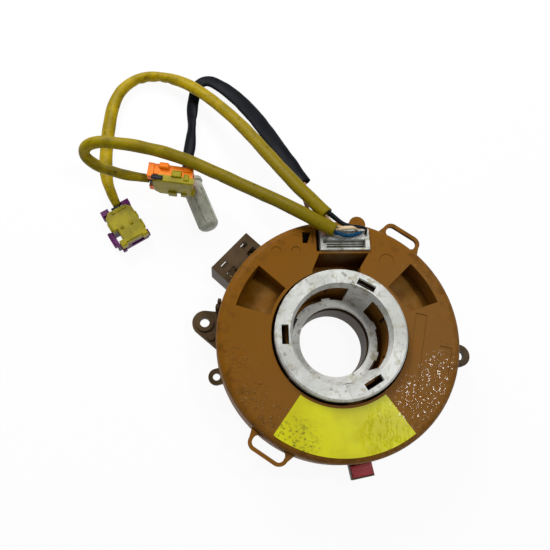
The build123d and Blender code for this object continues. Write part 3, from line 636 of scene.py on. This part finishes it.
def moulded_white():
    """White acetal under several kinds of dirt."""
    material, tree, shader, place = start_material("moulded_acetal_white", 0.4, ior=1.48, specular=0.4)
    base = blended(tree, patches(tree, place, 14, 0.35, 0.65), colour("#E2E4E0"), colour("#D0D2CD"))
    grime = patches(tree, place, 4.5, 0.5, 0.7, offset=(4, 2, 1))
    base = stained(tree, base, grime, 0.7, "#9C9266")
    dark = patches(tree, place, 3.2, 0.58, 0.72, detail=9, offset=(7, 2, 3))
    base = stained(tree, base, dark, 0.75, "#5C5238")
    wiped = patches(tree, place, 1.4, 0.6, 0.7, detail=6, offset=(2, 6, 3), stretch=(1.6, 0.3, 1))
    base = stained(tree, base, wiped, 0.5, "#7C7658")
    specks = patches(tree, place, 0.7, 0.7, 0.76, detail=1, offset=(9, 9, 0))
    base = blended(tree, specks, base, colour("#2A2622"))
    edge = outside(tree, place, RING_TOP, CLEAN_RADIUS, EDGE_SOFT)
    edge_grime = both(tree, edge, patches(tree, place, 3, 0.46, 0.62, detail=8, offset=(5, 5, 5)))
    base = stained(tree, base, edge_grime, 0.45, "#6E664A")
    deep = patches(tree, place, 20, 0.44, 0.6, detail=3, offset=(1, 1, 6))
    base = stained(tree, base, deep, 0.35, "#9A9A90")
    tree.links.new(base, shader.inputs["Base Color"])
    scuffs = patches(tree, place, 1.2, 0.4, 0.7, detail=5, stretch=(1, 4, 1))
    bumped(tree, shader, scuffs, 0.03)
    return material


paint(moulded_white(), "lock_ring", "wire_header")


# %% [markdown]
# Sleeves and wires
#
# The yellow sleeves are drawn vinyl, soft and half matt, with handling dirt rubbed into them. The dirt
# lies in streaks that come in clouds, so the dirt's mask is two noises of different size multiplied.
# The shrunk plastic of the black sleeve is smoother and shines less. The wires' own vinyl is harder and
# a little glossier.

# %% Vinyl finishes
HEADER_PLACE = (0, 50, 36)
HEADER_END_NEAR, HEADER_END_FADE = 25, 95


def soft_vinyl(name, light, deep, dirt_colour, roughness, dirt_amount, ripple_mm=0.05,
               specular=0.12, header_end=None):
    """Soft vinyl of two close colours. header_end is a darker colour towards the header end of the
    sleeve.
    """
    material, tree, shader, place = start_material(name, roughness, ior=1.52, specular=specular)
    base = blended(tree, patches(tree, place, 8, 0.35, 0.65), colour(light), colour(deep))
    # Darker towards the header end of the sleeve.
    if header_end:
        base = blended(tree, spot(tree, place, HEADER_PLACE, HEADER_END_NEAR, HEADER_END_FADE), base, colour(header_end))
    streaks = patches(tree, place, 1.8, 0.55, 0.72, detail=7, offset=(5, 3, 0))
    cloud = patches(tree, place, 12, 0.4, 0.58, offset=(1, 8, 0))
    dirt = both(tree, both(tree, streaks, cloud), dirt_amount)
    base = blended(tree, dirt, base, colour(dirt_colour))
    tree.links.new(base, shader.inputs["Base Color"])
    ripples = patches(tree, place, 2.4, 0.3, 0.7, detail=3)
    bumped(tree, shader, ripples, ripple_mm)
    return material


dress(purple_lead, soft_vinyl(
    "soft_vinyl_yellow", "#B09600", "#8E7A00", "#2C2402", 0.45, 0.9, header_end="#806E00"))
# Painted shade: this sleeve's yellows are set darker than the other sleeve's to stand in for shade.
dress(orange_lead, soft_vinyl(
    "soft_vinyl_yellow_shaded", "#988400", "#786800", "#282002", 0.45, 0.9, header_end="#766600"))
dress(black_lead, soft_vinyl(
    "shrunk_vinyl_black", "#0B0E16", "#07090E", "#16181E", 0.5, 0.3, ripple_mm=0.01, specular=0.08))
for name, light, deep, dirt_colour in (
    ("blue_wire", "#04466C", "#043856", "#051E30"), ("tan_wire", "#D4BE9A", "#B89A70", "#7A5E40"),
    ("dark_wire", "#15181E", "#0C0E12", "#24262A"), ("green_wire", "#44663A", "#35522C", "#1E2E1A"),
    ("rose_wire", "#B88A80", "#9A6E64", "#5E403A"),
):
    dress(wires[name], soft_vinyl("vinyl_" + name, light, deep, dirt_colour, 0.32, 0.4))
    if name in second_strands:
        dress(second_strands[name], wires[name].data.materials[0])


# %% [markdown]
# Small parts
#
# The plugs are moulded in PBT, a hard polyester, or in nylon, and in plain bright colours, so that they
# can't be mixed up. Such a part has fine grain, a slight shine and a little dirt. Only the colours and
# the shine differ from part to part, so one function makes them all. It also does for the ferrite,
# pressed and nearly black, and for the clear films and the laminated ribbon, which show only once the
# unit is opened.

# %% Small moulded parts
def small_moulding(name, light, deep, roughness=0.38, dirt_colour="#2A241A", dirt_amount=0.3):
    """A plain plastic of two close colours under a little dirt."""
    material, tree, shader, place = start_material(name, roughness, specular=0.25)
    base = blended(tree, patches(tree, place, 5, 0.35, 0.65), colour(light), colour(deep))
    dirt = patches(tree, place, 1.8, 0.6, 0.75, offset=(6, 1, 4))
    base = stained(tree, base, dirt, dirt_amount, dirt_colour)
    tree.links.new(base, shader.inputs["Base Color"])
    grain = patches(tree, place, 0.5, 0.3, 0.7, detail=2)
    bumped(tree, shader, grain, 0.012)
    return material


plug_purple = small_moulding("moulded_pbt_purple", "#6A2068", "#501650")
paint(plug_purple, "purple_plug_housing")
plug_yellow = small_moulding("moulded_pbt_yellow", "#A69800", "#8C8000", dirt_amount=0.55)
paint(plug_yellow, "purple_plug_cover", "orange_plug_cover")
plug_orange = small_moulding("moulded_pbt_orange", "#FF8600", "#F87A00")
paint(plug_orange, "orange_plug_housing")
paint(small_moulding("moulded_nylon_grey", "#B4B6A6", "#9EA092", roughness=0.3),
      "grey_plug_body", "grey_plug_collar")
paint(small_moulding("moulded_pbt_red", "#AE1C2A", "#8C121C", roughness=0.28), "red_tab")
paint(small_moulding("moulded_nylon_natural", "#C8C2B0", "#B4AC96"),
      "stator_terminal_block", "rotor_terminal_block")
ferrite_grey = small_moulding("pressed_ferrite", "#20242C", "#14161C", roughness=0.5)
paint(ferrite_grey, "purple_plug_ferrite", "orange_plug_ferrite")
paint(small_moulding("polyester_film_clear", "#D8D4C8", "#CCC6B8", roughness=0.2),
      "lower_slip_sheet", "upper_slip_sheet")
paint(small_moulding("laminated_ribbon_copper", "#C08A3A", "#A8742C", roughness=0.3), "ribbon_cable")


# %% [markdown]
# Fine features of the two squib plugs
#
# The construction has each plug's main shapes. The small steps, pips and latch arms on them are added
# here, because without them a plug looks like a plain brick. Each is a block with soft edges, made from
# a cube by a bevel, with an inset that sinks its top a little. It is built at its size in the plug's
# own directions and then set on the plug.

# %% Plug features
def plug_place(place, turn_degrees):
    """A plug's own directions: X from its lead to its mouth, Y across, Z up."""
    return Matrix.Translation(place) @ Matrix.Rotation(math.radians(turn_degrees), 4, "Z")


PURPLE_FRAME = plug_place((-0.0945, 0.0609, 0.0), -58.7)
ORANGE_FRAME = plug_place((-0.0716, 0.0768, 0.0194), -8.0)
INSET_SHARE = 0.12


def soft_block(low, high, soft, sunk):
    """One block with bevelled edges and a shallow sunk field on its top, in millimetres."""
    bpy.ops.object.select_all(action="DESELECT")
    middle = [(a + b) / 2 * MM for a, b in zip(low, high)]
    extent = [(b - a) * MM for a, b in zip(low, high)]
    bpy.ops.mesh.primitive_cube_add(size=1.0, location=middle, scale=extent)
    block = bpy.context.object
    bpy.ops.object.transform_apply(location=True, rotation=True, scale=True)
    bpy.ops.object.mode_set(mode="EDIT")
    bpy.ops.mesh.select_mode(type="FACE")
    bpy.ops.mesh.select_all(action="SELECT")
    bpy.ops.mesh.bevel(offset=soft * MM, segments=3, affect="EDGES")
    bpy.ops.mesh.select_all(action="DESELECT")
    bpy.ops.object.mode_set(mode="OBJECT")
    top = max(block.data.polygons, key=lambda face: face.center.z)
    top.select = True
    bpy.ops.object.mode_set(mode="EDIT")
    bpy.ops.mesh.inset(thickness=INSET_SHARE * min(extent[:2]), depth=-sunk * MM)
    bpy.ops.object.mode_set(mode="OBJECT")
    return block


def plug_feature(name, frame_of_plug, blocks, material):
    """Several soft blocks joined into one piece and set on a plug."""
    made = [soft_block(*block) for block in blocks]
    bpy.ops.object.select_all(action="DESELECT")
    for block in made:
        block.select_set(True)
    bpy.context.view_layer.objects.active = made[0]
    if len(made) > 1:
        bpy.ops.object.join()
    piece = bpy.context.object
    piece.name = name
    piece.data.name = name
    piece.data.transform(frame_of_plug)
    piece.data.materials.clear()
    dress(piece, material)
    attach(piece, "rotor")
    print(name, "blocks:", len(blocks))


plug_feature("purple_plug_cover_steps", PURPLE_FRAME, [
    ((-2.4, 6.0, 5.3), (0.6, 7.3, 8.0), 0.25, 0.1), ((2.2, 6.0, 5.3), (6.6, 7.5, 8.0), 0.25, 0.1),
    ((-3.2, -7.5, 5.3), (0.8, -6.0, 7.8), 0.25, 0.1), ((1.1, 1.7, 8.0), (2.9, 3.3, 9.0), 0.4, 0.15),
    ((1.2, -3.0, 8.0), (2.7, -1.4, 9.0), 0.4, 0.15), ((-7.2, -3.4, 8.0), (-5.8, 4.4, 8.8), 0.3, 0.1),
], plug_yellow)
plug_feature("purple_plug_tips_and_arm", PURPLE_FRAME, [
    ((6.6, 6.2, 0.8), (9.6, 7.9, 3.8), 0.3, 0.1), ((8.8, -7.2, 0.8), (10.8, -5.2, 3.4), 0.3, 0.1),
    ((-0.4, -9.7, 0.4), (6.8, -7.8, 4.4), 0.5, 0.2),
], plug_purple)
plug_feature("orange_plug_cover_arms", ORANGE_FRAME, [
    ((0.2, -1.4, 6.2), (4.8, 1.8, 7.6), 0.35, 0.2), ((5.8, -2.6, 6.2), (8.2, 0.6, 7.3), 0.3, 0.15),
    ((-1.4, -5.1, -6.4), (2.6, -3.8, -2.8), 0.3, 0.1), ((4.4, -4.9, -6.4), (7.0, -3.8, -3.6), 0.3, 0.1),
], plug_yellow)
plug_feature("orange_plug_rear_bump", ORANGE_FRAME, [
    ((-5.8, 1.8, 6.0), (-1.2, 4.7, 8.6), 0.9, 0.1), ((5.2, 1.6, 6.0), (8.6, 4.0, 7.5), 0.4, 0.1),
], plug_orange)
plug_feature("orange_plug_wire_guide", ORANGE_FRAME, [
    ((-8.6, -3.6, 6.2), (-3.4, -1.5, 7.5), 0.4, 0.15),
], ferrite_grey)


# %% [markdown]
# Metals
#
# The coil spring and the retaining clip are drawn steel, and the contacts are plated brass. A metal's
# colour is the colour of what it reflects, so both finishes are fully metallic. Drawing leaves lines
# that are finer than a hair, and here they are made coarse enough to show.

# %% Metal finishes
def drawn_metal(name, light, deep, roughness):
    """A metal of two close colours with fine lines."""
    material, tree, shader, place = start_material(name, roughness, metallic=1.0)
    base = blended(tree, patches(tree, place, 2, 0.35, 0.65), colour(light), colour(deep))
    tree.links.new(base, shader.inputs["Base Color"])
    lines = patches(tree, place, 0.3, 0.3, 0.7, detail=2, stretch=(1, 1, 6))
    bumped(tree, shader, lines, 0.004)
    return material


paint(drawn_metal("drawn_spring_steel", "#9A9CA0", "#7E8084", 0.3), "lock_spring", "retaining_clip")
paint(drawn_metal("plated_brass", "#CDB070", "#B89858", 0.28), "rear_connector_pins", "header_pins",
      "purple_plug_contacts", "orange_plug_contacts", "grey_plug_contact")


# %% [markdown]
# The yellow label
#
# A polyester film is stuck on the lower part of the cover. It is bare, bright yellow and smooth, with
# rubbed dirt at its lower left edge and glossy wrinkles at its right. The film's solid is flat, so the
# wrinkles are a bump with a clear coat over it.

# %% Label finish
RUBBED_CORNER = (-22, -43, 31)
WRINKLED_SIDE = (17, -40, 31)
WRINKLE_COAT, WRINKLE_COAT_ROUGHNESS = 0.4, 0.1


def bare_film():
    """Yellow film with rubbed dirt and wrinkles."""
    material, tree, shader, place = start_material("polyester_label_yellow", 0.34, specular=0.18)
    base = blended(tree, patches(tree, place, 16, 0.35, 0.65), colour("#D0CE00"), colour("#C0BA00"))
    corner = spot(tree, place, RUBBED_CORNER, 5, 9)
    rubbed = both(tree, corner, patches(tree, place, 1.2, 0.5, 0.64, detail=7))
    scattered = patches(tree, place, 1.1, 0.68, 0.76, detail=5, offset=(3, 3, 3))
    dirt = both(tree, both(tree, rubbed, 0.7), both(tree, scattered, 0.6), "MAXIMUM")
    base = blended(tree, dirt, base, colour("#4A4418"))
    tree.links.new(base, shader.inputs["Base Color"])
    wrinkled = both(tree, spot(tree, place, WRINKLED_SIDE, 6, 10),
                    patches(tree, place, 1.8, 0.5, 0.66, detail=4, stretch=(1.5, 0.45, 1)))
    bumped(tree, shader, wrinkled, 0.2)
    tree.links.new(both(tree, wrinkled, WRINKLE_COAT), shader.inputs["Coat Weight"])
    shader.inputs["Coat Roughness"].default_value = WRINKLE_COAT_ROUGHNESS
    return material


paint(bare_film(), "cover_sticker")

# %% [markdown]
# Floor and light
#
# The unit stands on a plain white floor. The floor and the world look white to the camera, and the
# lamps light the object at a plain level, so a colour comes out about as it is written.

# %% Floor
FLOOR_SIZE = 4.0
FLOOR_DROP = 0.05 * MM
FLOOR_GLOW = 0.93
bpy.ops.object.select_all(action="DESELECT")
bpy.ops.mesh.primitive_plane_add(size=FLOOR_SIZE, location=(0, 0, -FLOOR_DROP))
floor = bpy.context.object
floor.name = "floor"
floor_material = bpy.data.materials.new("white_floor")
floor_material.use_nodes = True
floor_tree = floor_material.node_tree
floor_tree.nodes.clear()
diffuse = add(floor_tree, "ShaderNodeBsdfDiffuse", {"Color": colour("#F4F4F4")})
white = add(floor_tree, "ShaderNodeEmission", {"Color": (1, 1, 1, 1), "Strength": 1.0})
rays = add(floor_tree, "ShaderNodeLightPath")
seen = both(floor_tree, rays.outputs["Is Camera Ray"], rays.outputs["Is Glossy Ray"], "MAXIMUM")
seen = both(floor_tree, seen, rays.outputs["Is Transmission Ray"], "MAXIMUM")
share = both(floor_tree, seen, FLOOR_GLOW)
surface = add(floor_tree, "ShaderNodeMixShader", {0: share, 1: diffuse.outputs[0], 2: white.outputs[0]})
add(floor_tree, "ShaderNodeOutputMaterial", {"Surface": surface.outputs[0]})
dress(floor, floor_material)

# %% [markdown]
# World and lamps
#
# The world is bright only where the camera looks straight at it, and lights the object more softly. A
# small lamp above to the right makes the glints on the grease, and a larger one behind to the left
# gives the soft main light.

# %% World and lamps
ROOM_LIGHT = 0.31
LAMP_AIM = (0.0, 0.03, 0.02)
world = bpy.data.worlds.new("pale_room")
bpy.context.scene.world = world
world.use_nodes = True
sky_tree = world.node_tree
sky_tree.nodes.clear()
rays = add(sky_tree, "ShaderNodeLightPath")
seen = both(sky_tree, rays.outputs["Is Camera Ray"], rays.outputs["Is Transmission Ray"], "MAXIMUM")
level = add(sky_tree, "ShaderNodeMapRange", {"Value": seen, "To Min": ROOM_LIGHT, "To Max": 1.0})
sky = add(sky_tree, "ShaderNodeBackground", {"Color": (1, 1, 1, 1), "Strength": level.outputs[0]})
add(sky_tree, "ShaderNodeOutputWorld", {"Surface": sky.outputs[0]})


def soft_lamp(name, place, size, power):
    """A square soft lamp that faces the object."""
    data = bpy.data.lights.new(name, "AREA")
    data.shape = "SQUARE"
    data.size = size
    data.energy = power
    lamp = bpy.data.objects.new(name, data)
    lamp.location = place
    lamp.rotation_euler = (Vector(LAMP_AIM) - Vector(place)).to_track_quat("-Z", "Y").to_euler()
    bpy.context.scene.collection.objects.link(lamp)


soft_lamp("overhead_lamp", (0.24, 0.06, 0.66), 0.1, 1.3)
soft_lamp("back_left_lamp", (-0.25, 0.55, 0.5), 0.3, 4.0)
